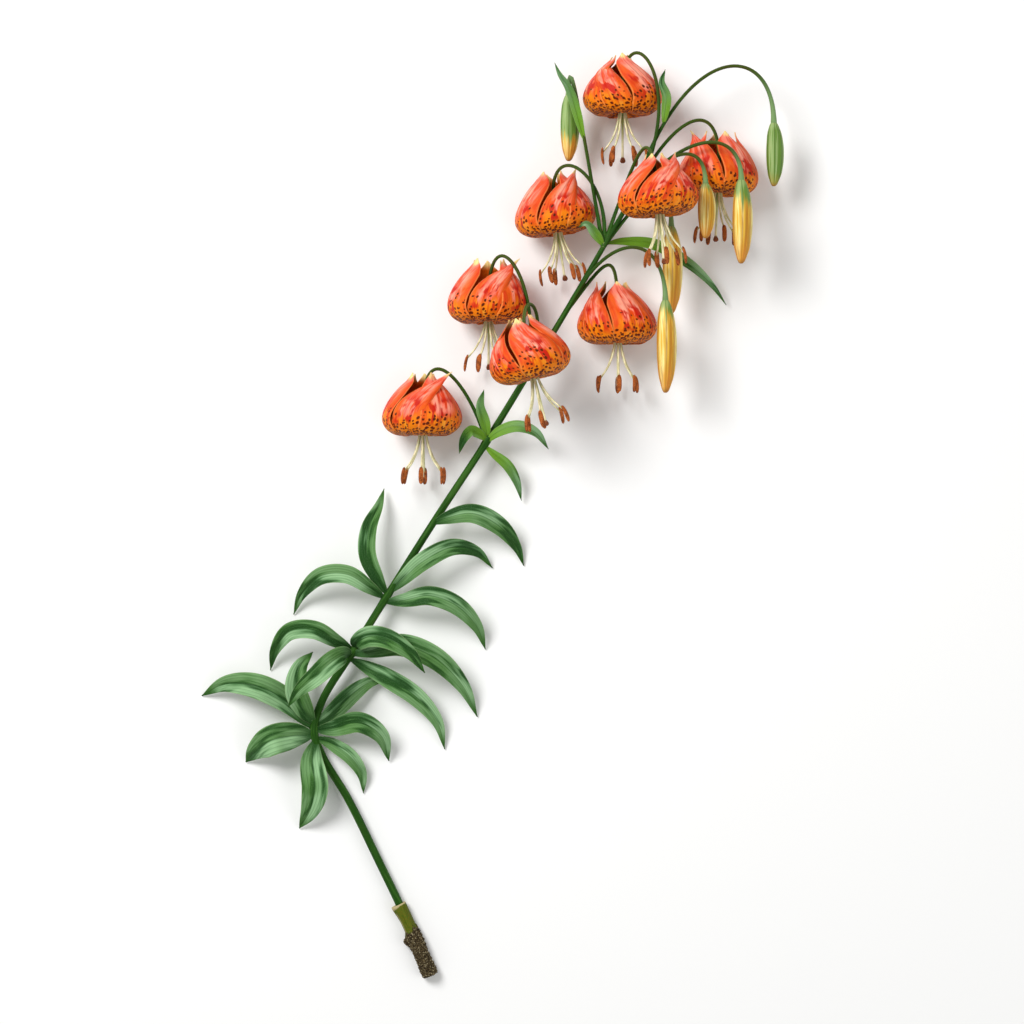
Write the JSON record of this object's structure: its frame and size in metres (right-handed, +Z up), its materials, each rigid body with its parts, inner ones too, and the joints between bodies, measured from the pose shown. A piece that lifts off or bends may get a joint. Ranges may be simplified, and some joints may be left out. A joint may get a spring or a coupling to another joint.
{
  "type": "leopard lily cut stem",
  "caption": "Cut flowering stem of a leopard lily lying on a surface: whorled leaves, arching stalks, nodding turned-back spotted orange blooms and long buds.",
  "frame": {"origin": "on the surface, under the middle of the box round the whole stem", "axes": "+Y from the cut foot to the top of the raceme, with the blooms nodding towards -Y; +Z up from the surface that the stem lies on; +X to the right as seen from above with the foot nearest the viewer"},
  "size_m": [0.4975, 0.7909, 0.1237],
  "materials": {
    "stem_green": "satin",
    "leaf_green": "satin",
    "bract_green": "satin",
    "tepal_orange": "satin",
    "stamen_mix": "matte",
    "bud_gold": "satin",
    "bud_green": "satin",
    "soil_brown": "matte"
  },
  "bodies": {
    "root": {"stem": "stem_green", "foot_sheath": "soil_brown", "leaf_low_1": "leaf_green", "leaf_low_2": "leaf_green", "leaf_low_3": "leaf_green", "leaf_low_4": "leaf_green", "leaf_low_5": "leaf_green", "leaf_low_6": "leaf_green", "leaf_low_7": "leaf_green", "leaf_middle_1": "leaf_green", "leaf_middle_2": "leaf_green", "leaf_middle_3": "leaf_green", "leaf_middle_4": "leaf_green", "leaf_middle_5": "leaf_green", "leaf_upper_1": "leaf_green", "leaf_upper_2": "leaf_green", "leaf_upper_3": "leaf_green", "leaf_upper_4": "leaf_green", "leaf_single_1": "leaf_green", "bract_1": "bract_green", "bract_2": "bract_green", "bract_3": "bract_green", "bract_4": "bract_green", "bract_5": "bract_green", "bract_6": "bract_green", "bract_7": "bract_green", "bract_8": "bract_green", "bloom_1_tepals": "tepal_orange", "bloom_1_stamens": "stamen_mix", "bloom_2_tepals": "tepal_orange", "bloom_2_stamens": "stamen_mix", "bloom_3_tepals": "tepal_orange", "bloom_3_stamens": "stamen_mix", "bloom_4_tepals": "tepal_orange", "bloom_4_stamens": "stamen_mix", "bloom_5_tepals": "tepal_orange", "bloom_5_stamens": "stamen_mix", "bloom_6_tepals": "tepal_orange", "bloom_6_stamens": "stamen_mix", "bloom_7_tepals": "tepal_orange", "bloom_7_stamens": "stamen_mix", "bloom_8_tepals": "tepal_orange", "bloom_8_stamens": "stamen_mix", "bud_1": "bud_gold", "bud_2": "bud_green", "bud_3": "bud_green", "bud_4": "bud_gold", "bud_5": "bud_gold", "bud_6": "bud_gold"}
  },
  "joints": []
}
